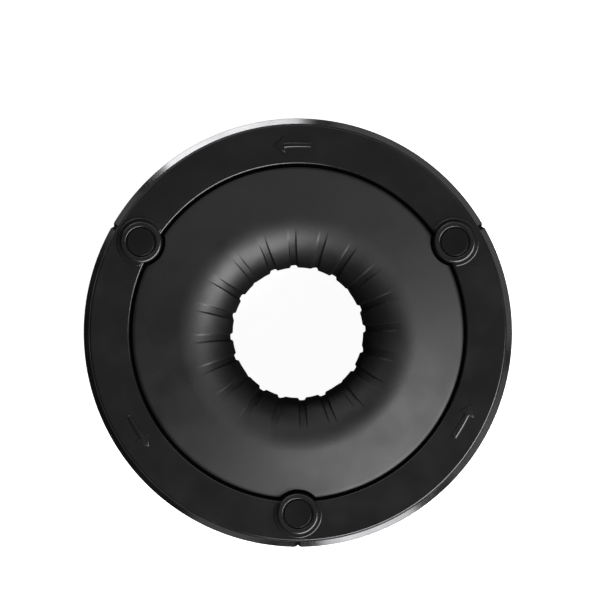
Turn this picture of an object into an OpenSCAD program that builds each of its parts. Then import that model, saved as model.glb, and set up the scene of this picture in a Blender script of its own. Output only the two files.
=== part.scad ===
// Feed collar of a kitchen garbage disposal: sink flange, trim ring, splash guard and three-bolt mount.
// Frame: +Z up, millimetres, origin on the collar's axis at the bottom of the rubber cushion.

/* [Flange] */
// Radius of the flange rim
rim_r = 57.15; // [50:0.05:62]
// Height of the rim's seating face above the bottom of the cushion
seat_z = 72.5; // [68:0.1:90]
// Thickness of the flange plate under the trim ring
plate_t = 2.1; // [1.6:0.1:3]
// Radius where the rim's chamfer meets the lip
lip_r = 55.75; // [54:0.05:56.5]
// Height of the lip above the seating face
lip_h = 4.1; // [3:0.1:6]
// Height of the chamfer
chamfer_h = 1.25; // [0.5:0.1:2]
// Outer radius of the flange tube
tube_r = 42.5; // [40:0.1:44]
// Inner radius of the flange tube
tube_bore_r = 41; // [38:0.1:43]
// Height of the tube's lower end
tube_z = 20; // [16:0.5:24]
// Width of the three notches in the chamfer
notch_w = 1.5; // [1:0.1:3]
// Depth of the three notches, inward from the rim
notch_d = 1.1; // [0.5:0.1:1.4]
// Height of the notches' floor above the seating face
notch_floor = 1.9; // [1:0.1:3]
// Depth of the V cut through the rim at each notch
notch_v = 0.5; // [0.2:0.1:0.9]

/* [Trim] */
// Outer radius of the trim ring
trim_r = 55.55; // [53:0.05:56]
// Inner radius of the trim ring
trim_bore_r = 45.05; // [44.5:0.05:47]
// Thickness of the gasket under the trim ring
trim_gasket_t = 0.3; // [0.2:0.1:0.6]
// Thickness of the trim ring
trim_t = 2.0; // [1.6:0.1:3]
// Rounding of the trim ring's outer top edge
trim_edge = 0.35; // [0.2:0.05:0.8]
// Radius of the circle the three pads stand on
pad_circle_r = 48.36; // [47:0.05:50]
// Outer radius of a pad
pad_r = 5.5; // [5:0.05:6]
// Height of a pad above its boss
pad_h = 1.6; // [0.3:0.05:2.2]
// Radius of the cap in the middle of a pad
cap_r = 3.65; // [3.5:0.05:4.4]
// Gap between cap and pad
cap_gap = 0.4; // [0.1:0.05:0.5]
// Depth of the cap's face below the pad's top
cap_sink = 0.5; // [0.1:0.05:0.8]
// Radius of the boss around each pad
boss_r = 6.5; // [6:0.05:7]
// Height of the boss above the trim ring's face
boss_h = 0.25; // [0.1:0.05:0.5]

/* [Splash guard] */
// Radius of the throat
throat_r = 17.35; // [15:0.05:20]
// Radius of the guard's crest
crest_r = 29.4; // [26:0.1:33]
// Outer radius of the guard's brim
brim_r = 44.2; // [43:0.05:44.6]
// Radius where the brim's rounded shoulder starts
shoulder_r = 42.8; // [42:0.05:43.5]
// Rounding of the shoulder, cut off by the brim's wall
shoulder_round = 2.0; // [1.5:0.1:3]
// Radius of the reliefs in the brim around the pads
relief_r = 6.5; // [6.2:0.05:6.8]
// Slope of the cone in degrees
cone_a = 13; // [5:0.5:25]
// Thickness of the rubber
rubber_t = 2.0; // [1.5:0.1:3]
// Length of the straight part of the throat
throat_l = 4.5; // [2:0.5:12]
// Outer radius of the skirt inside the tube
skirt_r = 40.7; // [38:0.05:40.9]
// Height of the skirt's lower end
skirt_z = 50; // [40:0.5:60]
// Number of channels pressed into the throat
flutes = 20; // [12:4:28]
// Depth of a channel at the throat
flute_d = 0.64; // [0.2:0.02:0.9]
// Depth of a shallow channel at the throat
shallow_d = 0.24; // [0.1:0.02:0.5]
// Angular width of a channel
flute_a = 6.2; // [3:0.1:8]

/* [Mount] */
// Thickness of the gasket under the rim
rim_gasket_t = 1.5; // [0.5:0.1:3]
// Gap left for the sink sheet
sink_gap = 8.5; // [6:0.5:12]
// Thickness of the fibre gasket
fibre_t = 1.5; // [1:0.1:2.5]
// Thickness of the backup ring
backup_t = 3.0; // [2:0.1:4]
// Inner radius of the rings around the tube
ring_bore_r = 43.0; // [42.8:0.1:44]
// Outer radius of the backup ring
backup_r = 55.8; // [54:0.1:57]
// Height of the mounting ring's underside
ring_z = 44; // [40:0.5:50]
// Thickness of the mounting ring
ring_t = 4.0; // [3:0.1:5]
// Outer radius of the mounting ring's plate
ring_r = 52.2; // [51:0.1:53]
// Outer radius of the mounting ring's ledges
ledge_r = 53.8; // [53:0.1:55]
// Half width of a ledge in degrees
ledge_a = 17; // [10:0.5:20]
// Radius of the circle the mount screws stand on
screw_circle_r = 48; // [47:0.1:49]
// Radius of a mount screw's shank
screw_r = 3.175; // [2.5:0.005:3.5]
// Length of a mount screw's shank
screw_l = 25; // [20:0.5:30]
// Running fit of the screw shank in the mounting ring
thread_fit = 0.06; // [0.02:0.01:0.1]
// Radius of a mount screw's head
head_r = 4.4; // [4:0.1:5]
// Height of a mount screw's head
head_h = 4.0; // [3:0.1:5]
// Radius of the snap ring's wire
wire_r = 1.1; // [0.8:0.05:1.3]

/* [Lower ring and cushion] */
// Height of the lower ring's underside
lower_z = 10; // [8:0.5:12]
// Thickness of the lower ring
lower_t = 4.0; // [3:0.1:5]
// Inner radius of the lower ring
lower_bore_r = 47.5; // [47.2:0.1:48]
// Outer radius of the lower ring and its hooks
lower_r = 55.9; // [55:0.1:57]
// Half width of a hook in degrees
hook_a = 10; // [6:0.5:12]
// Thickness of a hook's wall
hook_t = 1.7; // [1.2:0.1:1.9]
// Outer radius of the cushion's neck
neck_r = 46.8; // [45:0.1:47]
// Radius of the bore for the disposal's neck
neck_bore_r = 40; // [39:0.1:40.5]
// Radius of the brim the lower ring lifts
cushion_brim_r = 53.2; // [52:0.1:55]
// Radius of the sleeve around the tube
sleeve_r = 46; // [44:0.1:47]
// Height of the sleeve's upper end
sleeve_z = 26; // [23:0.5:28]

/* [Hidden] */
$fn = 96;
eps = 0.01;
plate_z = seat_z + plate_t;
lip_z = seat_z + lip_h;
chamfer_z = lip_z - chamfer_h;
trim_z = plate_z + trim_gasket_t;
face_z = trim_z + trim_t;
boss_z = face_z + boss_h;
pad_z = boss_z + pad_h;
cap_z = pad_z - cap_sink;
cap_floor_z = boss_z - 0.6;
head_floor_z = cap_floor_z - 0.8;
shoulder_z = face_z - 0.3;
roll_r = crest_r - throat_r;
cone_x = crest_r + roll_r * sin(cone_a);
cone_z = shoulder_z + (shoulder_r - cone_x) * tan(cone_a);
crest_z = cone_z + roll_r * (1 - cos(cone_a));
roll_z = crest_z - roll_r;
throat_z = roll_z - throat_l;
skirt_in_r = skirt_r - rubber_t;
gasket_z = seat_z - rim_gasket_t;
fibre_z = gasket_z - sink_gap - fibre_t;
backup_z = fibre_z - backup_t;
ring_top_z = ring_z + ring_t;
head_z = backup_z - screw_l - head_h;
wire_z = ring_z - wire_r - 0.05;
wire_path_r = tube_r - 0.5 + wire_r;
lower_top_z = lower_z + lower_t;
brim_z = lower_top_z + 0.2;
tooth_z = ring_top_z + 0.3;
tooth_t = 2.3;
tooth_top_z = tooth_z + tooth_t + 0.4;
hook_in_r = lower_r - hook_t;
pad_angles = [30, 150, 270];
mark_angles = [90, 210, 330];
rubber_color = [0.10, 0.10, 0.10];
steel_color = [0.62, 0.63, 0.65];
dark_color = [0.20, 0.20, 0.21];

// A flat ring between two radii
module band(r_in, r_out, z, h) {
    translate([0, 0, z])
    difference() {
        cylinder(h = h, r = r_out);
        translate([0, 0, -1])
        cylinder(h = h + 2, r = r_in);
    }
}

// A wedge-shaped prism about the axis, centred on +X
module wedge(half_a, r, z, h) {
    translate([0, 0, z])
    linear_extrude(height = h)
    polygon([[0, 0], [r, -r * tan(half_a)], [r, r * tan(half_a)]]);
}

// A part of a flat ring, centred on +X
module sector(half_a, r_in, r_out, z, h) {
    intersection() {
        band(r_in, r_out, z, h);
        wedge(half_a, r_out * 1.3, z - 1, h + 2);
    }
}

// Section of the flange: rim with chamfered lip, plate and tube
module flange_section() {
    difference() {
        union() {
            polygon([[tube_bore_r, tube_z], [tube_r, tube_z], [tube_r, seat_z],
                     [rim_r - 0.2, seat_z], [rim_r, seat_z + 0.2], [rim_r, chamfer_z - 0.1],
                     [rim_r - 0.1, chamfer_z], [lip_r, lip_z], [trim_r + 0.05, lip_z],
                     [trim_r + 0.05, plate_z], [tube_bore_r + 0.5, plate_z],
                     [tube_bore_r, plate_z - 0.5]]);
        }
        translate([wire_path_r, wire_z])
        circle(r = wire_r + 0.05);
    }
}

module sink_flange() {
    color(dark_color)
    difference() {
        rotate_extrude()
        flange_section();
        for (a = pad_angles) {
            rotate([0, 0, a])
            translate([rim_r - notch_d, -notch_w / 2, seat_z + notch_floor])
            cube([notch_d + 1, notch_w, lip_h]);
            rotate([0, 0, a])
            translate([rim_r, 0, seat_z - 1])
            linear_extrude(height = lip_h)
            polygon([[-notch_v, 0], [0.3, -notch_w / 2], [0.3, notch_w / 2]]);
            rotate([0, 0, a])
            translate([pad_circle_r, 0, seat_z + 0.6])
            cylinder(h = plate_t, r = 1.25);
        }
    }
}

module trim_gasket() {
    color(rubber_color)
    difference() {
        band(trim_bore_r + 0.3, trim_r - 0.3, plate_z, trim_gasket_t);
        for (a = pad_angles)
            rotate([0, 0, a])
            translate([pad_circle_r, 0, plate_z - 1])
            cylinder(h = 3, r = 1.6);
    }
}

// Section of the trim ring with rounded top edges
module trim_section() {
    difference() {
        translate([trim_bore_r, trim_z])
        square([trim_r - trim_bore_r, trim_t]);
        difference() {
            translate([trim_r - trim_edge, face_z - trim_edge])
            square(trim_edge + 1);
            translate([trim_r - trim_edge, face_z - trim_edge])
            circle(r = trim_edge);
        }
        difference() {
            translate([trim_bore_r - 1, face_z - 0.3])
            square([1.3, 1.3]);
            translate([trim_bore_r + 0.3, face_z - 0.3])
            circle(r = 0.3);
        }
    }
}

// Section of one boss, thick at the middle and rounded at the rim
module boss_section(r) {
    difference() {
        translate([0, trim_z])
        square([r, boss_z - trim_z]);
        difference() {
            translate([r - 0.2, boss_z - 0.2])
            square(1.2);
            translate([r - 0.2, boss_z - 0.2])
            circle(r = 0.2);
        }
    }
}

// Curved twist arrow, raised on the trim ring's face and centred on +X
module twist_mark() {
    mark_r = 50.1;
    h = 0.5;
    sector(4.0, mark_r - 0.5, mark_r + 0.5, face_z - 0.2, h);
    rotate([0, 0, 4.0])
    translate([mark_r, 0, face_z - 0.2])
    linear_extrude(height = h)
    polygon([[-1.9, -0.2], [1.9, -0.2], [0, 2.8]]);
}

module trim_ring() {
    color(rubber_color)
    difference() {
        union() {
            rotate_extrude()
            trim_section();
            for (a = pad_angles)
                rotate([0, 0, a])
                translate([pad_circle_r, 0, 0]) {
                    rotate_extrude()
                    boss_section(5.6);
                    intersection() {
                        rotate_extrude()
                        boss_section(boss_r);
                        translate([trim_bore_r + 0.3 - pad_circle_r, -10, 0])
                        cube([20, 20, 100]);
                    }
                }
            for (a = mark_angles)
                rotate([0, 0, a])
                twist_mark();
        }
        for (a = pad_angles)
            rotate([0, 0, a])
            translate([pad_circle_r, 0, 0]) {
                translate([0, 0, cap_floor_z])
                cylinder(h = 5, r = cap_r);
                translate([0, 0, head_floor_z])
                cylinder(h = 5, r = 2.4);
                translate([0, 0, trim_z - 1])
                cylinder(h = 5, r = 1.5);
            }
    }
}

// Screw with a low socket head, hidden under a cap
module trim_screw(i) {
    color(steel_color)
    rotate([0, 0, pad_angles[i]])
    translate([pad_circle_r, 0, 0])
    difference() {
        union() {
            translate([0, 0, seat_z + 0.8])
            cylinder(h = head_floor_z - seat_z - 0.8 + eps, r = 1.25);
            translate([0, 0, head_floor_z])
            cylinder(h = 0.75, r = 2.25);
        }
        translate([0, 0, head_floor_z + 0.25])
        cylinder(h = 1, r = 0.9, $fn = 6);
    }
}

// Rubber bumper ring with a rounded top
module pad(i) {
    in_r = cap_r + cap_gap;
    w = pad_r - in_r;
    color(rubber_color)
    rotate([0, 0, pad_angles[i]])
    translate([pad_circle_r, 0, 0])
    rotate_extrude()
    union() {
        translate([in_r, boss_z])
        square([w, pad_h - 0.3]);
        translate([in_r + 0.3, boss_z])
        square([w - 0.6, pad_h]);
        translate([in_r + 0.3, pad_z - 0.3])
        circle(r = 0.3);
        translate([pad_r - 0.3, pad_z - 0.3])
        circle(r = 0.3);
    }
}

// Press-in cap with a softened edge that covers the screw inside a pad
module cap(i) {
    h = cap_z - cap_floor_z;
    color(dark_color)
    rotate([0, 0, pad_angles[i]])
    translate([pad_circle_r, 0, cap_floor_z])
    rotate_extrude()
    difference() {
        square([cap_r, h]);
        difference() {
            translate([cap_r - 0.15, h - 0.15])
            square(1);
            translate([cap_r - 0.15, h - 0.15])
            circle(r = 0.15);
        }
    }
}

module rim_gasket() {
    color(rubber_color)
    band(44, 55.8, gasket_z, rim_gasket_t);
}

// Section of the splash guard: throat, roll, cone, brim and skirt
module guard_section() {
    edge = shoulder_round;
    in_r = roll_r - rubber_t;
    tx = crest_r + in_r * sin(cone_a);
    tz = roll_z + in_r * cos(cone_a);
    far = roll_r + 6;
    difference() {
        polygon([[throat_r, throat_z], [throat_r, cone_z + (cone_x - throat_r) * tan(cone_a)],
                 [brim_r, shoulder_z - (brim_r - shoulder_r) * tan(cone_a)], [brim_r, plate_z],
                 [skirt_r, plate_z], [skirt_r, skirt_z], [skirt_in_r, skirt_z],
                 [skirt_in_r, tz - (skirt_in_r - tx) * tan(cone_a)], [tx, tz], [crest_r, roll_z],
                 [throat_r + rubber_t, roll_z], [throat_r + rubber_t, throat_z]]);
        translate([crest_r, roll_z])
        circle(r = in_r);
        difference() {
            polygon([[crest_r, roll_z], [throat_r - 6, roll_z], [throat_r - 6, roll_z + far],
                     [crest_r + far * sin(cone_a), roll_z + far * cos(cone_a)]]);
            translate([crest_r, roll_z])
            circle(r = roll_r);
        }
        difference() {
            polygon([[shoulder_r, shoulder_z - edge], [shoulder_r + 5 * sin(cone_a), shoulder_z + 5],
                     [brim_r + 5, shoulder_z + 5], [brim_r + 5, shoulder_z - edge]]);
            translate([shoulder_r, shoulder_z - edge])
            circle(r = edge);
        }
        difference() {
            translate([throat_r - 1, throat_z - 1])
            square([rubber_t + 2, 1 + rubber_t / 2]);
            translate([throat_r + rubber_t / 2, throat_z + rubber_t / 2])
            circle(r = rubber_t / 2);
        }
    }
}

// Region cut away by a channel: the throat's own section moved outward
module flute_section(d) {
    difference() {
        translate([throat_r - 2, throat_z - 1])
        square([crest_r + 0.2 - throat_r + 2, crest_z - throat_z + 2]);
        translate([crest_r + d, roll_z])
        circle(r = roll_r);
        translate([throat_r + d, throat_z - 2])
        square([20, roll_z - throat_z + 2]);
    }
}

module splash_guard() {
    step = 360 / flutes;
    color(rubber_color)
    difference() {
        rotate_extrude()
        guard_section();
        intersection() {
            rotate_extrude()
            flute_section(flute_d);
            for (i = [0 : flutes - 1])
                if (i % 5 != 2)
                    rotate([0, 0, 3.6 + i * step])
                    wedge(flute_a / 2, 34, throat_z - 2, 40);
        }
        intersection() {
            rotate_extrude()
            flute_section(shallow_d);
            for (i = [2 : 5 : flutes - 1])
                rotate([0, 0, 5.2 + i * step])
                wedge(flute_a / 2, 34, throat_z - 2, 40);
        }
        for (a = pad_angles)
            rotate([0, 0, a])
            translate([pad_circle_r, 0, plate_z])
            cylinder(h = 10, r = relief_r);
    }
}

module fibre_gasket() {
    color([0.45, 0.20, 0.13])
    band(ring_bore_r, 55.8, fibre_z, fibre_t);
}

module backup_ring() {
    color(steel_color)
    difference() {
        band(ring_bore_r, backup_r, backup_z, backup_t);
        for (a = mark_angles)
            rotate([0, 0, a])
            translate([screw_circle_r, 0, backup_z - 1])
            cylinder(h = 1.8, r = screw_r + 0.3);
    }
}

// Outline of a part of a flat ring, centred on +X
module sector_outline(half_a, r_in, r_out) {
    r = r_out * 1.3;
    intersection() {
        difference() {
            circle(r = r_out);
            circle(r = r_in);
        }
        polygon([[0, 0], [r, -r * tan(half_a)], [r, r * tan(half_a)]]);
    }
}

// Plate with three tapped ears and three ledges for the hooks of the lower ring
module mounting_ring() {
    color(steel_color)
    difference() {
        union() {
            translate([0, 0, ring_z])
            linear_extrude(height = ring_t)
            union() {
                circle(r = ring_r);
                for (a = pad_angles)
                    rotate(a)
                    sector_outline(ledge_a, 20, ledge_r);
            }
            for (a = pad_angles)
                rotate([0, 0, a + hook_a + 1.9])
                translate([0, 0, ring_z + 1])
                linear_extrude(height = ring_t + 2)
                sector_outline(1.5, ring_r - 0.3, ledge_r - 0.2);
            for (a = mark_angles)
                rotate([0, 0, a])
                translate([screw_circle_r, 0, ring_z + 1])
                cylinder(h = ring_t + 0.5, r = 4.0);
        }
        for (a = mark_angles)
            rotate([0, 0, a])
            translate([screw_circle_r, 0, ring_z - 1])
            cylinder(h = ring_t + 5, r = screw_r + thread_fit);
        translate([0, 0, ring_z - 1])
        cylinder(h = ring_t + 5, r = ring_bore_r);
    }
}

// Mount screw with a hexagonal slotted head at its lower end
module mount_screw(i) {
    color(steel_color)
    rotate([0, 0, mark_angles[i]])
    translate([screw_circle_r, 0, head_z])
    difference() {
        union() {
            cylinder(h = head_h, r = head_r, $fn = 6);
            translate([0, 0, head_h - eps])
            cylinder(h = screw_l + 0.8 + eps, r = screw_r);
        }
        translate([-6, -0.6, -1])
        cube([12, 1.2, 2.2]);
    }
}

// Split wire ring in the tube's groove, with a gap at its front
module snap_ring() {
    color(steel_color)
    difference() {
        translate([0, 0, wire_z])
        rotate_extrude()
        translate([wire_path_r, 0])
        circle(r = wire_r);
        rotate([0, 0, 180])
        wedge(8, 60, wire_z - 5, 10);
    }
}

// Section of the cushion: neck with an inner groove, brim and sleeve
module cushion_section() {
    difference() {
        union() {
            translate([neck_bore_r, 0])
            square([neck_r - neck_bore_r, brim_z + 1]);
            translate([neck_bore_r, brim_z])
            square([cushion_brim_r - neck_bore_r - 1, 3.8]);
            translate([neck_bore_r, brim_z + 1])
            square([cushion_brim_r - neck_bore_r, 1.8]);
            translate([cushion_brim_r - 1, brim_z + 1])
            circle(r = 1);
            translate([cushion_brim_r - 1, brim_z + 2.8])
            circle(r = 1);
            translate([neck_bore_r, brim_z + 3])
            square([sleeve_r - neck_bore_r, sleeve_z - brim_z - 3]);
        }
        translate([neck_bore_r - 1, tube_z])
        square([tube_r - neck_bore_r + 1, 20]);
        translate([neck_bore_r - 1, 5])
        square([4, 4]);
        translate([neck_bore_r + 3, 7])
        circle(r = 2);
    }
}

module cushion_mount() {
    color(rubber_color)
    rotate_extrude()
    cushion_section();
}

// Lower ring with three hooks that lock over the mounting ring's ledges
module lower_ring() {
    color(steel_color)
    difference() {
        union() {
            band(lower_bore_r, lower_r - 0.3, lower_z, lower_t);
            for (a = pad_angles)
                rotate([0, 0, a]) {
                    sector(hook_a, hook_in_r, lower_r, lower_z + 1, tooth_top_z - lower_z - 1);
                    sector(hook_a - 0.3, ring_r + 0.4, lower_r - 0.5, tooth_z, tooth_t);
                }
        }
        for (a = pad_angles)
            rotate([0, 0, a])
            translate([50, 0, 30])
            rotate([0, 90, 0])
            cylinder(h = 10, r = 3.2);
    }
}

sink_flange();
trim_gasket();
trim_ring();
trim_screw(0);  // trim_screw_1
trim_screw(1);  // trim_screw_2
trim_screw(2);  // trim_screw_3
pad(0);  // pad_1
pad(1);  // pad_2
pad(2);  // pad_3
cap(0);  // cap_1
cap(1);  // cap_2
cap(2);  // cap_3
rim_gasket();
splash_guard();
fibre_gasket();
backup_ring();
mounting_ring();
mount_screw(0);  // mount_screw_1
mount_screw(1);  // mount_screw_2
mount_screw(2);  // mount_screw_3
snap_ring();
cushion_mount();
lower_ring();
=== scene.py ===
import math

import bpy
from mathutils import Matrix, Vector


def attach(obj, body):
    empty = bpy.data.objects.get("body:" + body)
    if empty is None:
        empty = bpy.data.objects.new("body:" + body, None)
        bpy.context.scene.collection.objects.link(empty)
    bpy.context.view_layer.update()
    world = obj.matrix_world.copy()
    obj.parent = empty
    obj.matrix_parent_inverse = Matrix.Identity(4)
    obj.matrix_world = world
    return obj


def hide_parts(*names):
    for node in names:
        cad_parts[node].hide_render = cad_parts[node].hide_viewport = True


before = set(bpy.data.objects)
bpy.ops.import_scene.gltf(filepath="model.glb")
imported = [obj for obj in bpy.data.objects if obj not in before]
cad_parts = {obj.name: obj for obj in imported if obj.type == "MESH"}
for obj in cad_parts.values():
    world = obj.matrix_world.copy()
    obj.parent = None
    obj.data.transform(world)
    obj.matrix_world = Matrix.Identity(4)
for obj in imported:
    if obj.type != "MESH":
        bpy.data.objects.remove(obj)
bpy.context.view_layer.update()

# ---------------------------------------------------------------- sizes, in millimetres
# In a name, R is a radius and Z a height
MM = 0.001
# Directions of the three pads, and of the three marks and mount screws, in degrees
PADS = (30, 150, 270)
MARKS = (90, 210, 330)
# Flange: rim, lip and chamfer
RIM_R = 57.15
SEAT_Z = 72.5
PLATE_Z = 74.6
LIP_Z = 76.6
LIP_R = 55.76
LIP_IN = 55.6
CHAMFER_Z = 75.36
# Flange: middle radius, width, depth, floor of the three notches, and the V cut into the rim's wall there
NOTCH_R = 56.5
NOTCH_W = 1.5
NOTCH_D = 1.1
NOTCH_Z = 74.4
NOTCH_V = 0.5
# Flange: tube, and the round-bottomed groove for the snap ring
TUBE_R = 42.5
TUBE_IN = 41.0
TUBE_Z = 20.0
GROOVE_X = 43.1
GROOVE_Z = 42.85
GROOVE_R = 1.15
GROOVE_HALF = 1.08
# Trim ring, its bosses and the raised marks; a boss is drawn in to no less than BOSS_LEAST_R
TRIM_R = 55.58
TRIM_IN = 45.05
TRIM_Z = 74.9
FACE_Z = 76.9
BOSS_R = 6.5
BOSS_LEAST_R = 5.6
BOSS_FIXED_R = 5.3
BOSS_Z = 77.15
CAP_HOLE_Z = 76.4
MARK_R = 50.1
MARK_H = 0.42
MARK_SIDE = 0.5
# Pads and caps
PAD_R = 48.36
PAD_IN = 4.05
PAD_OUT = 5.5
PAD_Z = 78.75
CAP_R = 3.65
CAP_Z = 78.25
CAP_FLOOR_Z = 76.55
# Splash guard: throat, roll, cone, shoulder, brim with its scallops round the pads, and skirt
CREST_R = 29.4
THROAT_R = 17.35
ROLL_R = CREST_R - THROAT_R
CONE_A = math.radians(13)
SHOULDER_R = 42.8
SHOULDER_Z = 76.6
SHOULDER_ROUND = 2.0
BRIM_R = 44.2
BRIM_EDGE = 0.15
BRIM_FOOT_Z = PLATE_Z + 0.02
RELIEF_R = 6.5
CONE_X = CREST_R + ROLL_R * math.sin(CONE_A)
CONE_Z = SHOULDER_Z + (SHOULDER_R - CONE_X) * math.tan(CONE_A)
ROLL_Z = CONE_Z - ROLL_R * math.cos(CONE_A)
THROAT_Z = ROLL_Z - 4.5
RUBBER_T = 2.0
SKIRT_R = 40.7
SKIRT_Z = 50.0
# Points of the cone inside MOVE_R keep their place; the outermost EDGE_BAND follows the brim's edge
MOVE_R = 37.0
EDGE_BAND = 1.0
# Channels pressed into the throat: spacing and first direction in degrees, and where they fade out
CHANNEL_STEP = 18
CHANNEL_START = 3.7
CHANNEL_FULL_R = 21.0
CHANNEL_END_R = 30.0
# Mount screws
SCREW_CIRCLE_R = 48.0
SCREW_R = 3.175
SCREW_ROOT_R = 2.62
SCREW_PITCH = 1.27
SCREW_TOP_Z = 58.8
HEAD_R = 4.4
HEAD_Z = 29.0
HEAD_TOP_Z = 33.0
HEAD_BEVEL = 0.3
SLOT_HALF = 0.6
SLOT_DEEP = 1.2


# ---------------------------------------------------------------- mesh code
def add_mesh(name, verts, faces, sharp=35):
    """Smooth-shaded object from points in millimetres, with edges sharper than an angle kept sharp."""
    mesh = bpy.data.meshes.new(name)
    mesh.from_pydata([(x * MM, y * MM, z * MM) for x, y, z in verts], [], faces)
    mesh.validate()
    mesh.polygons.foreach_set("use_smooth", [True] * len(mesh.polygons))
    mesh.set_sharp_from_angle(angle=math.radians(sharp))
    obj = bpy.data.objects.new(name, mesh)
    bpy.context.scene.collection.objects.link(obj)
    return obj


def grid_faces(rows, cols, close_rows, close_cols):
    """Faces of a grid of points, closed into a loop either way if asked."""
    faces = []
    for i in range(rows if close_rows else rows - 1):
        a = i * cols
        b = ((i + 1) % rows) * cols
        for j in range(cols if close_cols else cols - 1):
            k = (j + 1) % cols
            faces.append((a + j, b + j, b + k, a + k))
    return faces


def smoothstep(a, b, x):
    """Soft step from 0 at a to 1 at b."""
    t = min(1.0, max(0.0, (x - a) / (b - a)))
    return t * t * (3 - 2 * t)


def polar(r, deg):
    """Point at a radius and an angle in degrees."""
    a = math.radians(deg)
    return r * math.cos(a), r * math.sin(a)


def channel_depth(deg, r):
    """Depth of the pressed channels in the throat at one angle and radius."""
    k = math.floor((deg - CHANNEL_START) / CHANNEL_STEP + 0.5)
    x = deg - CHANNEL_START - CHANNEL_STEP * k
    kind = k % 5
    # each channel widens and softens towards the bottom of the throat, where t is 1
    t = 1 - smoothstep(17.6, 23.0, r)
    low, high, soft = -2.5 - 0.5 * t, 2.1 + 0.6 * t, 0.5 + 0.6 * t
    wall = smoothstep(low - soft, low + soft, x) * (1 - smoothstep(high - soft, high + soft, x))
    # every third and fifth channel in a group of five runs out to one side at the bottom
    if kind == 2:
        size = (0.44 - 0.2 * t) * (1 - 0.8 * t * (1 - smoothstep(-2.0, 2.0, x)))
    elif kind == 4:
        size = 0.64 * (1 - 0.75 * t * smoothstep(-1.6, 3.6, x))
    else:
        size = 0.64
    return size * wall * (1 - smoothstep(CHANNEL_FULL_R, CHANNEL_END_R, r))


def guard_edge(deg):
    """Outer radius of the guard's brim at one angle, scalloped around the pads."""
    edge = BRIM_R
    for a in PADS:
        d = math.radians((deg - a + 180) % 360 - 180)
        s = PAD_R * math.sin(d)
        if abs(s) < RELIEF_R and math.cos(d) > 0:
            edge = min(edge, PAD_R * math.cos(d) - math.sqrt(RELIEF_R**2 - s * s))
    return edge


def guard_top(r):
    """Height of the guard's upper face: roll, cone and the rounded shoulder."""
    if r <= CONE_X:
        return ROLL_Z + math.sqrt(max(0.0, ROLL_R**2 - (r - CREST_R)**2))
    tangent = SHOULDER_R + SHOULDER_ROUND * math.sin(CONE_A)
    if r <= tangent:
        return CONE_Z - (r - CONE_X) * math.tan(CONE_A)
    centre = guard_top(tangent) - SHOULDER_ROUND * math.cos(CONE_A)
    return centre + math.sqrt(SHOULDER_ROUND**2 - (r - SHOULDER_R)**2)


def guard_profile():
    """Closed section of the guard as (kind, r, z) points; build_guard says how each kind is used."""
    out = []
    lip = RUBBER_T / 2
    straight = ROLL_Z - THROAT_Z - lip
    end = 90 + math.degrees(CONE_A)
    # outer face: lip, throat wall and roll
    for i in range(9):
        x, z = polar(lip, 270 - 90 * i / 8)
        out.append(("throat", THROAT_R + lip + x, THROAT_Z + lip + z))
    for i in range(1, 6):
        out.append(("throat", THROAT_R, THROAT_Z + lip + straight * i / 6))
    for i in range(73):
        x, z = polar(ROLL_R, 180 - end * i / 72)
        out.append(("throat", CREST_R + x, ROLL_Z + z))
    # cone, shoulder and the brim's rounded edge; their heights come from guard_top
    shoulder_r = BRIM_R - 0.9
    for i in range(1, 6):
        out.append(("top", CONE_X + (MOVE_R - CONE_X) * i / 5, 0))
    for i in range(1, 13):
        out.append(("top", MOVE_R + (shoulder_r - MOVE_R) * i / 12, 0))
    for i in range(1, 9):
        out.append(("top", shoulder_r + (BRIM_R - BRIM_EDGE - shoulder_r) * i / 8, 0))
    for i in range(1, 7):
        out.append(("top", BRIM_R - BRIM_EDGE * math.cos(math.radians(90 * i / 6)), 0))
    # brim's wall, with a share of its height in place of z, then its foot and the skirt
    for share in (0.7, 0.35, 0.12, 0.03):
        out.append(("wall", BRIM_R, share))
    out.append(("fixed", TUBE_IN + 0.5, BRIM_FOOT_Z))
    out.append(("fixed", SKIRT_R + 0.15, BRIM_FOOT_Z))
    for i in range(13):
        out.append(("fixed", SKIRT_R, PLATE_Z - 0.2 - (PLATE_Z - 0.7 - SKIRT_Z) * i / 12))
    for dr, dz in ((0.15, 0.15), (0.5, 0), (1.5, 0), (1.85, 0.15)):
        out.append(("fixed", SKIRT_R - dr, SKIRT_Z + dz))
    # inner face, back up the skirt, under the cone and down the throat
    inner = SKIRT_R - RUBBER_T
    inner_roll = ROLL_R - RUBBER_T
    tangent_r = CREST_R + inner_roll * math.sin(CONE_A)
    tangent_z = ROLL_Z + inner_roll * math.cos(CONE_A)
    top = tangent_z - (inner - tangent_r) * math.tan(CONE_A)
    for i in range(13):
        out.append(("fixed", inner, SKIRT_Z + 0.5 + (top - 1.0 - SKIRT_Z) * i / 12))
    for i in range(1, 9):
        r = inner + (tangent_r - inner) * i / 9
        out.append(("fixed", r, tangent_z - (r - tangent_r) * math.tan(CONE_A)))
    for i in range(33):
        x, z = polar(inner_roll, 90 - math.degrees(CONE_A) + end * i / 32)
        out.append(("fixed", CREST_R + x, ROLL_Z + z))
    for i in range(1, 5):
        out.append(("fixed", THROAT_R + RUBBER_T, ROLL_Z - straight * i / 5))
    for i in range(8):
        x, z = polar(lip, -90 * i / 8)
        out.append(("fixed", THROAT_R + lip + x, THROAT_Z + lip + z))
    return out


def fine_angles(coarse, fine, spans):
    """Angles round the circle in degrees, closer together inside the spans."""
    angles = set()
    for i in range(int(360 / coarse)):
        angles.add(round(i * coarse, 4))
    for mid, half in spans:
        for i in range(int(2 * half / fine) + 1):
            angles.add(round((mid - half + i * fine) % 360, 4))
    return sorted(angles)


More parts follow.
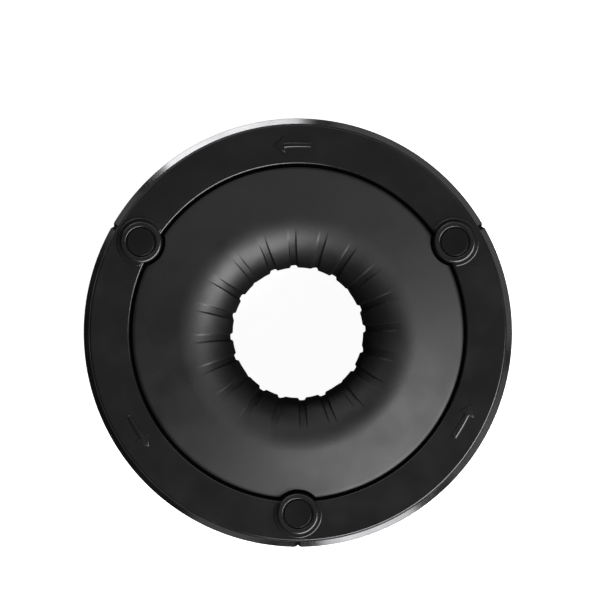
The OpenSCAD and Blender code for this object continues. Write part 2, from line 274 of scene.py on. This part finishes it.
def build_guard(quick):
    """Splash guard in one piece, with its pressed channels and its brim scalloped round the pads."""
    profile = guard_profile()
    scallop = 6.6
    angles = fine_angles(0.5 if quick else 0.25, 0.1, [(a, scallop) for a in PADS])
    verts = []
    for deg in angles:
        c, s = polar(1, deg)
        edge = guard_edge(deg)
        wall_z = guard_top(edge) - BRIM_EDGE
        for kind, r, z in profile:
            if kind == "throat" and r < CHANNEL_END_R:
                r += channel_depth(deg, r)
            elif kind == "top":
                if r > BRIM_R - EDGE_BAND:
                    r = edge - (BRIM_R - r)
                elif r > MOVE_R:
                    r = MOVE_R + (r - MOVE_R) * (edge - EDGE_BAND - MOVE_R) / (BRIM_R - EDGE_BAND - MOVE_R)
                near = max(0.0, BRIM_EDGE - (edge - r))
                z = guard_top(r) - BRIM_EDGE + math.sqrt(max(0.0, BRIM_EDGE**2 - near**2))
            elif kind == "wall":
                r, z = edge, BRIM_FOOT_Z + (wall_z - PLATE_Z) * z
            verts.append((r * c, r * s, z))
    return add_mesh("guard_skin", verts, grid_faces(len(angles), len(profile), True, True))


def rounded(points, steps=3):
    """Closed outline from (x, z, corner radius) points; loops beside each round keep the flats flat."""
    support = 0.04
    out = []
    n = len(points)
    for i, (x, z, r) in enumerate(points):
        here = Vector((x, z))
        to_prev = Vector(points[i - 1][:2]) - here
        to_next = Vector(points[(i + 1) % n][:2]) - here
        if r <= 0:
            out.append((here.x, here.y))
            continue
        half = to_prev.angle(to_next) / 2
        cut = min(r / math.tan(half), to_prev.length * 0.45, to_next.length * 0.45)
        r = cut * math.tan(half)
        a, b = here + to_prev.normalized() * cut, here + to_next.normalized() * cut
        centre = here + (to_prev.normalized() + to_next.normalized()).normalized() * (r / math.sin(half))
        if cut + 2 * support < to_prev.length * 0.45:
            v = a + to_prev.normalized() * support
            out.append((v.x, v.y))
        for k in range(steps + 1):
            v = (a.lerp(b, k / steps) - centre).normalized() * r + centre
            out.append((v.x, v.y))
        if cut + 2 * support < to_next.length * 0.45:
            v = b + to_next.normalized() * support
            out.append((v.x, v.y))
    return out


def revolve(name, outline, angles, centre=(0, 0), shape=None):
    """Solid of revolution about an upright axis; shape may move a point, given its angle."""
    verts = []
    for deg in angles:
        c, s = polar(1, deg)
        for r, z in outline:
            if shape:
                r, z = shape(r, z, deg)
            verts.append((centre[0] + r * c, centre[1] + r * s, z))
    return add_mesh(name, verts, grid_faces(len(angles), len(outline), True, True))


def joined(name, objs):
    """One object from several."""
    for obj in bpy.context.selected_objects:
        obj.select_set(False)
    for obj in objs:
        obj.select_set(True)
    bpy.context.view_layer.objects.active = objs[0]
    bpy.ops.object.join()
    objs[0].name = name
    return objs[0]


def build_flange(quick):
    """Rim with its chamfered lip, dish and tube; three notches are cut into the rim."""
    groove = [(TUBE_R, GROOVE_Z + GROOVE_HALF, 0)]
    for i in range(9):
        x, z = polar(GROOVE_R, 118 + 124 * i / 8)
        groove.append((GROOVE_X + x, GROOVE_Z + z, 0))
    groove.append((TUBE_R, GROOVE_Z - GROOVE_HALF, 0))
    dish = [(TUBE_IN, TUBE_Z, 0.3), (TUBE_IN, PLATE_Z - 0.5, 0.2), (TUBE_IN + 0.5, PLATE_Z, 0.2),
            (LIP_IN, PLATE_Z, 0.1), (LIP_IN, LIP_Z, 0), (LIP_R, LIP_Z, 0)]
    rim = [(RIM_R - 0.1, CHAMFER_Z, 0.1), (RIM_R, CHAMFER_Z - 0.1, 0.1), (RIM_R, SEAT_Z + 0.2, 0.1),
           (RIM_R - 0.2, SEAT_Z, 0.1), (TUBE_R, SEAT_Z, 0.3)]
    outline = rounded(dish + rim + groove + [(TUBE_R, TUBE_Z, 0.3)])
    half = math.degrees(NOTCH_W / 2 / NOTCH_R)
    walls = [(a + side, 0.06) for a in PADS for side in (-half, half)]
    angles = fine_angles(1.0 if quick else 0.5, 0.02, walls + [(a, 0.8) for a in PADS])

    def notch(r, z, deg):
        """Lower and draw in the rim's points inside a notch."""
        for a in PADS:
            off = abs((deg - a + 180) % 360 - 180)
            if off < half and r > RIM_R - NOTCH_D:
                z = min(z, NOTCH_Z)
                r = min(r, RIM_R - NOTCH_V * (1 - off / half))
        return r, z

    return revolve("flange_skin", outline, angles, shape=notch)


def build_trim(quick):
    """Trim ring with its bosses and raised twist arrows."""
    outline = rounded([(TRIM_IN, TRIM_Z, 0.1), (TRIM_IN, FACE_Z, 0.4),
                       (TRIM_R, FACE_Z, 0.42), (TRIM_R, TRIM_Z, 0.1)], steps=6)
    parts = [revolve("trim_skin", outline, fine_angles(1.0 if quick else 0.5, 0.1, []))]
    hole_r = CAP_R + 0.03
    disc = rounded([(hole_r, CAP_HOLE_Z, 0), (hole_r, BOSS_Z, 0.05),
                    (BOSS_R, BOSS_Z, 0.3), (BOSS_R, TRIM_Z, 0.05)], steps=6)

    def reach(r, z, deg):
        """Draw the boss in where it would stand past the ring's inner edge; its pad stands at angle 0."""
        inward = -math.cos(math.radians(deg))
        limit = BOSS_R
        if inward > 0.01:
            limit = min(BOSS_R, max(BOSS_LEAST_R, (PAD_R - TRIM_IN - 0.3) / inward))
        return (r - (BOSS_R - limit), z) if r > BOSS_FIXED_R else (r, z)

    for a in PADS:
        parts.append(revolve("boss", disc, fine_angles(1.5, 0.5, []), polar(PAD_R, a),
                             lambda r, z, deg, a=a: reach(r, z, deg - a)))
    for a in MARKS:
        parts.append(twist_mark(a))
    return joined("trim_skin", parts)


def twist_mark(mid):
    """Raised curved arrow with rounded sides: half widths in millimetres, lengths in degrees."""
    bar, barb, half, tip = 0.75, 2.2, 4.0, 3.6
    there = [-half + 2 * half * i / 12 for i in range(13)]
    path = [(MARK_R - bar, d) for d in there]
    path += [(MARK_R - barb, half), (MARK_R, half + tip), (MARK_R + barb, half)]
    path += [(MARK_R + bar, -d) for d in there]
    flat = [Vector(polar(r, mid + d)) for r, d in path[::-1]]
    n = len(flat)
    steps = [(0.0, FACE_Z - 0.1)]
    for i in range(7):
        t = math.radians(15 * i)
        steps.append((MARK_SIDE * (1 - math.cos(t)), FACE_Z + MARK_H * math.sin(t)))
    verts = []
    for inset, z in steps:
        for i, point in enumerate(flat):
            along = (point - flat[i - 1]).normalized() + (flat[(i + 1) % n] - point).normalized()
            v = point + Vector((-along.y, along.x)).normalized() * inset
            verts.append((v.x, v.y, z))
    last = len(steps) - 1
    faces = []
    for k in range(last):
        for i in range(n):
            j = (i + 1) % n
            faces.append((k * n + i, k * n + j, (k + 1) * n + j, (k + 1) * n + i))
    faces.append(tuple(last * n + i for i in range(n)))
    return add_mesh("mark", verts, faces)


def build_pad(name, a):
    """Rubber bumper ring with rounded edges."""
    outline = rounded([(PAD_IN, BOSS_Z, 0), (PAD_IN, PAD_Z, 0.22),
                       (PAD_OUT, PAD_Z, 0.5), (PAD_OUT, BOSS_Z, 0)], steps=8)
    return revolve(name, outline, fine_angles(2.0, 0.5, []), polar(PAD_R, a))


def build_cap(name, a):
    """Plain disc in the middle of a pad."""
    middle = 0.001
    outline = rounded([(middle, CAP_Z, 0), (middle, CAP_FLOOR_Z, 0),
                       (CAP_R, CAP_FLOOR_Z, 0), (CAP_R, CAP_Z, 0.14)], steps=6)
    return revolve(name, outline, fine_angles(2.0, 0.5, []), polar(PAD_R, a))


def build_screw(name, angle):
    """Quarter-inch screw with a rolled thread and a slotted hexagonal head, at its place in the frame."""
    z0, z1 = HEAD_TOP_Z, SCREW_TOP_Z
    cx, cy = polar(SCREW_CIRCLE_R, angle)
    cols, rows_per_turn = 40, 10
    rows = int((z1 - z0) / SCREW_PITCH * rows_per_turn)
    verts = []
    for i in range(rows + 1):
        z = z0 + (z1 - z0) * i / rows
        # the thread runs out at both ends, and the tip is chamfered
        runout = smoothstep(z0 + 0.3, z0 + 2.2, z) * (1 - smoothstep(z1 - 1.6, z1 - 0.1, z))
        tip = 0.35 * smoothstep(z1 - 0.5, z1, z)
        for j in range(cols):
            t = (z / SCREW_PITCH - j / cols) % 1.0
            ridge = max(0.0, 1 - abs(t - 0.5) / 0.42)
            thread = (SCREW_R - SCREW_ROOT_R) * min(1.0, ridge * 1.25)
            x, y = polar(SCREW_ROOT_R + thread * runout - tip, 360 * j / cols)
            verts.append((cx + x, cy + y, z))
    faces = grid_faces(rows + 1, cols, False, True)
    faces.append(tuple(rows * cols + j for j in range(cols)))
    faces.append(tuple(range(cols))[::-1])
    return joined(name, [add_mesh(name, verts, faces), screw_head(cx, cy, math.radians(angle))])


def screw_head(cx, cy, turn):
    """Hexagonal head with softened corners and a slot across its lower face."""
    c, s = math.cos(turn), math.sin(turn)
    verts, faces = [], []

    def at(x, y, z):
        verts.append((cx + x * c - y * s, cy + x * s + y * c, z))
        return len(verts) - 1

    def ring(r, z):
        first = len(verts)
        for k in range(6):
            at(*polar(r, 60 * k), z)
        return first

    inset_r = HEAD_R - HEAD_BEVEL
    levels = [ring(inset_r, HEAD_Z), ring(HEAD_R, HEAD_Z + HEAD_BEVEL),
              ring(HEAD_R, HEAD_TOP_Z - HEAD_BEVEL), ring(inset_r, HEAD_TOP_Z)]
    for lo, hi in zip(levels, levels[1:]):
        for k in range(6):
            n = (k + 1) % 6
            faces.append((lo + k, lo + n, hi + n, hi + k))
    faces.append(tuple(levels[-1] + k for k in range(6)))

    base = levels[0]
    run = inset_r - SLOT_HALF / math.tan(math.radians(60))
    slot_z = HEAD_Z + SLOT_DEEP
    upper = [at(run, SLOT_HALF, HEAD_Z), at(-run, SLOT_HALF, HEAD_Z)]
    lower = [at(run, -SLOT_HALF, HEAD_Z), at(-run, -SLOT_HALF, HEAD_Z)]
    floor_up = [at(run, SLOT_HALF, slot_z), at(-run, SLOT_HALF, slot_z)]
    floor_low = [at(run, -SLOT_HALF, slot_z), at(-run, -SLOT_HALF, slot_z)]
    faces.append((upper[0], upper[1], base + 2, base + 1))
    faces.append((lower[1], lower[0], base + 5, base + 4))
    faces.append((upper[1], upper[0], floor_up[0], floor_up[1]))
    faces.append((lower[0], lower[1], floor_low[1], floor_low[0]))
    faces.append((floor_up[0], floor_low[0], floor_low[1], floor_up[1]))
    faces.append((upper[0], base, lower[0], floor_low[0], floor_up[0]))
    faces.append((upper[1], floor_up[1], floor_low[1], lower[1], base + 3))
    faces.append((upper[0], base + 1, base))
    faces.append((base, base + 5, lower[0]))
    faces.append((upper[1], base + 3, base + 2))
    faces.append((base + 3, lower[1], base + 4))
    return add_mesh("head", verts, faces, sharp=20)


# ---------------------------------------------------------------- materials
def link(tree, a, b):
    """Join one node's output to another's input."""
    tree.links.new(a, b)


def surface(name, color, rough, metallic=0.0, specular=0.5, grain=0.3, grain_depth=0.0,
            mottle=8.0, vary=0.06):
    """Procedural surface: mottled colour, uneven roughness and a fine grain, sizes in millimetres."""
    low_noise, high_noise, uneven = 0.3, 0.7, 0.05
    mat = bpy.data.materials.new(name)
    mat.use_nodes = True
    tree = mat.node_tree
    shader = tree.nodes["Principled BSDF"]
    shader.inputs["Metallic"].default_value = metallic
    shader.inputs["Specular IOR Level"].default_value = specular
    coord = tree.nodes.new("ShaderNodeTexCoord")
    big = tree.nodes.new("ShaderNodeTexNoise")
    big.inputs["Scale"].default_value = 1000 / mottle
    big.inputs["Detail"].default_value = 5
    link(tree, coord.outputs["Object"], big.inputs["Vector"])
    fine = tree.nodes.new("ShaderNodeTexNoise")
    fine.inputs["Scale"].default_value = 1000 / grain
    fine.inputs["Detail"].default_value = 3
    link(tree, coord.outputs["Object"], fine.inputs["Vector"])
    ramp = tree.nodes.new("ShaderNodeValToRGB")
    low = [c * (1 - vary) for c in color]
    high = [min(1.0, c * (1 + vary)) for c in color]
    ramp.color_ramp.elements[0].position = low_noise
    ramp.color_ramp.elements[0].color = (*low, 1)
    ramp.color_ramp.elements[1].position = high_noise
    ramp.color_ramp.elements[1].color = (*high, 1)
    link(tree, big.outputs["Fac"], ramp.inputs["Fac"])
    link(tree, ramp.outputs["Color"], shader.inputs["Base Color"])
    spread = tree.nodes.new("ShaderNodeMapRange")
    spread.inputs["From Min"].default_value = low_noise
    spread.inputs["From Max"].default_value = high_noise
    spread.inputs["To Min"].default_value = max(0.02, rough - uneven)
    spread.inputs["To Max"].default_value = min(1.0, rough + uneven)
    link(tree, big.outputs["Fac"], spread.inputs["Value"])
    link(tree, spread.outputs["Result"], shader.inputs["Roughness"])
    bump = tree.nodes.new("ShaderNodeBump")
    bump.inputs["Distance"].default_value = grain_depth * MM
    bump.inputs["Strength"].default_value = 1.0
    link(tree, fine.outputs["Fac"], bump.inputs["Height"])
    link(tree, bump.outputs["Normal"], shader.inputs["Normal"])
    return mat


def from_axis(tree):
    """Object coordinates, and the distance from the upright axis in metres."""
    coord = tree.nodes.new("ShaderNodeTexCoord")
    flat = tree.nodes.new("ShaderNodeVectorMath")
    flat.operation = "MULTIPLY"
    flat.inputs[1].default_value = (1, 1, 0)
    link(tree, coord.outputs["Object"], flat.inputs[0])
    length = tree.nodes.new("ShaderNodeVectorMath")
    length.operation = "LENGTH"
    link(tree, flat.outputs["Vector"], length.inputs[0])
    return coord.outputs["Object"], length.outputs["Value"]


def math_node(tree, operation, a, b):
    """Maths node on two inputs, each a socket or a number; returns its output."""
    out = tree.nodes.new("ShaderNodeMath")
    out.operation = operation
    for socket, value in zip(out.inputs, (a, b)):
        if isinstance(value, (int, float)):
            socket.default_value = value
        else:
            link(tree, value, socket)
    return out.outputs["Value"]


def paint_dish_shade(mat):
    """The flange's dish under the trim ring is coloured near-black as painted shade, so the gap round the
    guard reads as shadow; its rim and tube stay bright.
    """
    tree = mat.node_tree
    shader = tree.nodes["Principled BSDF"]
    position, radius = from_axis(tree)
    split = tree.nodes.new("ShaderNodeSeparateXYZ")
    link(tree, position, split.inputs["Vector"])
    inside = math_node(tree, "LESS_THAN", radius, (LIP_IN + 0.02) * MM)
    above = math_node(tree, "GREATER_THAN", split.outputs["Z"], (SEAT_Z + 0.7) * MM)
    mix = tree.nodes.new("ShaderNodeMix")
    mix.data_type = "RGBA"
    link(tree, math_node(tree, "MULTIPLY", inside, above), mix.inputs["Factor"])
    link(tree, shader.inputs["Base Color"].links[0].from_socket, mix.inputs["A"])
    # near-black painted shade for the dish seen through the gap between the guard and the trim ring
    mix.inputs["B"].default_value = (0.012, 0.012, 0.012, 1)
    link(tree, mix.outputs["Result"], shader.inputs["Base Color"])


def polish_throat(mat):
    """The guard's throat is a little smoother than its cone."""
    tree = mat.node_tree
    shader = tree.nodes["Principled BSDF"]
    radius = from_axis(tree)[1]
    share = tree.nodes.new("ShaderNodeMapRange")
    share.inputs["From Min"].default_value = 20 * MM
    share.inputs["From Max"].default_value = 31 * MM
    share.inputs["To Min"].default_value = 0.88
    share.inputs["To Max"].default_value = 1.0
    link(tree, radius, share.inputs["Value"])
    source = shader.inputs["Roughness"].links[0].from_socket
    link(tree, math_node(tree, "MULTIPLY", source, share.outputs["Result"]), shader.inputs["Roughness"])


GUARD = surface("guard_rubber", (0.003, 0.003, 0.003), 0.51, specular=0.68, grain=0.35, grain_depth=0.02)
TRIM = surface("trim_plastic", (0.0095, 0.0095, 0.0095), 0.19, specular=0.8, grain=0.25, grain_depth=0.0003)
PAD = surface("pad_rubber", (0.010, 0.010, 0.010), 0.2, specular=0.85, grain=0.25, grain_depth=0.001)
CAP = surface("cap_plastic", (0.007, 0.007, 0.007), 0.2, specular=0.5, grain=0.2, grain_depth=0.001)
METAL = surface("flange_metal", (0.42, 0.42, 0.43), 0.2, metallic=1.0, grain=0.25, grain_depth=0.0003)
STEEL = surface("zinc_steel", (0.62, 0.62, 0.60), 0.34, metallic=1.0, grain=0.3, grain_depth=0.004,
                mottle=5, vary=0.08)
GASKET = surface("gasket_rubber", (0.022, 0.022, 0.022), 0.7, specular=0.3, grain=0.4, grain_depth=0.03)
FIBRE = surface("fibre", (0.30, 0.10, 0.055), 0.85, specular=0.25, grain=0.5, grain_depth=0.05,
                mottle=2, vary=0.3)
CUSHION = surface("cushion_rubber", (0.018, 0.018, 0.018), 0.62, specular=0.4, grain=0.4, grain_depth=0.02)
paint_dish_shade(METAL)
polish_throat(GUARD)

# Materials of the CAD nodes; every node that isn't listed is zinc-plated steel
BY_NODE = {"sink_flange": METAL, "trim_gasket": GASKET, "trim_ring": TRIM, "rim_gasket": GASKET,
           "splash_guard": GUARD, "fibre_gasket": FIBRE, "cushion_mount": CUSHION,
           "pad_1": PAD, "pad_2": PAD, "pad_3": PAD, "cap_1": CAP, "cap_2": CAP, "cap_3": CAP}
for node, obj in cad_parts.items():
    obj.data.materials.clear()
    obj.data.materials.append(BY_NODE.get(node, STEEL))


def place(obj, body, node, mat):
    """Give a piece its material and its body, in place of a CAD node."""
    obj.data.materials.clear()
    obj.data.materials.append(mat)
    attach(obj, body)
    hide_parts(node)


place(build_guard(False), "guard", "splash_guard", GUARD)
place(build_flange(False), "flange_assembly", "sink_flange", METAL)
place(build_trim(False), "flange_assembly", "trim_ring", TRIM)
for i, a in enumerate(PADS, 1):
    place(build_pad(f"pad_skin_{i}", a), "flange_assembly", f"pad_{i}", PAD)
    place(build_cap(f"cap_skin_{i}", a), "flange_assembly", f"cap_{i}", CAP)

for i, a in enumerate(MARKS, 1):
    place(build_screw(f"screw_skin_{i}", a), f"screw_{i}", f"mount_screw_{i}", STEEL)

# ---------------------------------------------------------------- stage, in metres
# White floor: the camera sees it, but the part neither reflects it nor is lit by it
bpy.ops.mesh.primitive_plane_add(size=12.0, location=(0, 0, -0.0002))
floor = bpy.context.object
floor.name = "floor"
paper = bpy.data.materials.new("floor")
paper.use_nodes = True
paper_shader = paper.node_tree.nodes["Principled BSDF"]
paper_shader.inputs["Base Color"].default_value = (0.85, 0.85, 0.85, 1)
paper_shader.inputs["Roughness"].default_value = 0.9
paper_shader.inputs["Emission Color"].default_value = (1, 1, 1, 1)
paper_shader.inputs["Emission Strength"].default_value = 0.95
floor.data.materials.append(paper)
floor.visible_glossy = False
floor.visible_diffuse = False


def softbox(name, azimuth, elevation, distance, width, height, power):
    """Rectangular light in metres and watts, aimed at the middle of the part's upper face."""
    data = bpy.data.lights.new(name, "AREA")
    data.shape = "RECTANGLE"
    data.size = width
    data.size_y = height
    data.energy = power
    obj = bpy.data.objects.new(name, data)
    aim = Vector((0, 0, 0.075))
    flat, up = polar(distance, elevation)
    offset = Vector((*polar(flat, azimuth), up))
    obj.location = aim + offset
    obj.rotation_euler = (-offset).to_track_quat("-Z", "Y").to_euler()
    bpy.context.scene.collection.objects.link(obj)
    return obj


# name, direction and angle above the floor in degrees, distance, width, height, power
softbox("key", 309, 46, 1.0, 1.1, 0.75, 18.4)
softbox("overhead", 30, 80, 1.2, 0.8, 0.8, 0.12)
softbox("fill_side", 66, 50, 1.0, 0.7, 0.5, 0.9)
softbox("fill_back", 126, 40, 1.0, 0.7, 0.6, 1.3)
softbox("rim_back", 109, 4, 1.0, 0.72, 0.16, 1.0)
softbox("rim_front", 290, 4, 1.0, 0.47, 0.16, 0.48)
softbox("fill_right", 38, 5, 1.0, 1.8, 0.16, 0.17)
softbox("fill_left", 250, 5, 1.0, 0.35, 0.16, 0.03)
softbox("fill_front", 333, 5, 1.0, 0.6, 0.16, 0.045)
softbox("fill_tail", 146, 5, 1.0, 0.25, 0.16, 0.02)

world = bpy.data.worlds.new("studio")
bpy.context.scene.world = world
world.use_nodes = True
world.node_tree.nodes["Background"].inputs["Color"].default_value = (1, 1, 1, 1)
world.node_tree.nodes["Background"].inputs["Strength"].default_value = 0.01

# Camera straight above the flange, its picture's middle a little off the part's axis
cam = bpy.data.cameras.new("camera")
cam.type = "ORTHO"
cam.ortho_scale = 0.16
cam_obj = bpy.data.objects.new("camera", cam)
cam_obj.location = (0.00056, 0.00872, 0.6)
cam_obj.rotation_euler = (0, 0, 0)
bpy.context.scene.collection.objects.link(cam_obj)
bpy.context.scene.camera = cam_obj
bpy.context.scene.view_settings.view_transform = "Standard"
